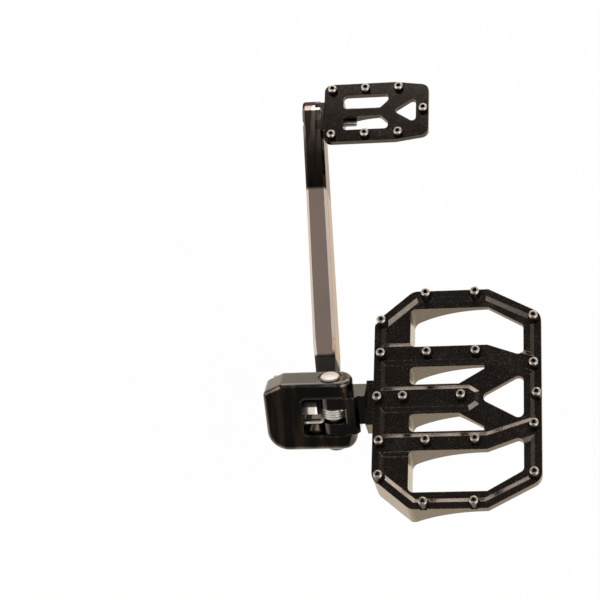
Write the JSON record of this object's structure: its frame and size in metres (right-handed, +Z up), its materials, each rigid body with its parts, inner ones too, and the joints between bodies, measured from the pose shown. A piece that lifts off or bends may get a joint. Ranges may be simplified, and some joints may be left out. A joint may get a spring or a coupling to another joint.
{
  "type": "motorcycle floorboard with toe lever",
  "caption": "Folding skeleton floorboard with traction pins, on a sprung clevis hinge that also carries a forward toe lever with its own pad.",
  "frame": {"origin": "mouth of the threaded mounting hole in the inboard face of the clevis", "axes": "+X outboard from the machine, out of the clevis; +Y forward, along the toe lever; +Z up out of the deck"},
  "size_m": [0.1662, 0.287, 0.0838],
  "materials": {
    "gloss_black": "gloss black",
    "deck_black": "black anodised with a fine sparkle and bright cut edges",
    "stud_black": "black oxide",
    "pin_steel": "satin",
    "spring_steel": "bright wire",
    "lever_chrome": "dark chrome",
    "bolt_steel": "bright ends",
    "bushing_bronze": "plain bearing bronze"
  },
  "bodies": {
    "bracket": {"clevis": "gloss_black", "hinge_pin": "pin_steel", "pin_washer": "pin_steel", "pin_ring": "pin_steel", "torsion_spring": "spring_steel", "pivot_shaft": "pin_steel", "shaft_spacer": "pin_steel", "shaft_washer": "pin_steel", "shaft_ring": "pin_steel", "shaft_lock_screw": "stud_black"},
    "deck": {"hinge_tongue": "gloss_black", "hinge_bushing_upper": "bushing_bronze", "hinge_bushing_lower": "bushing_bronze", "floor_deck": "deck_black", "deck_pins": "stud_black", "spigot_screws": "stud_black"},
    "lever": {"toe_lever": "lever_chrome", "lever_bushing": "bushing_bronze", "toe_pad": "deck_black", "pad_pins": "stud_black", "pad_bolts": "bolt_steel"}
  },
  "joints": [
    {"name": "deck_fold", "type": "hinge", "parent": "bracket", "child": "deck", "pos_m": [0.0405, 0, 0], "axis": [0, -0.6157, -0.788], "range_deg": [0, 50], "stiffness_Nm_per_rad": 0.35, "springref_deg": -51.57, "deforming": ["torsion_spring"]},
    {"name": "lever_press", "type": "hinge", "parent": "bracket", "child": "lever", "pos_m": [0.03365, 0.02, -0.026], "axis": [-1, 0, 0], "range_deg": [0, 12], "stiffness_Nm_per_rad": 3, "springref_deg": -22.92}
  ]
}
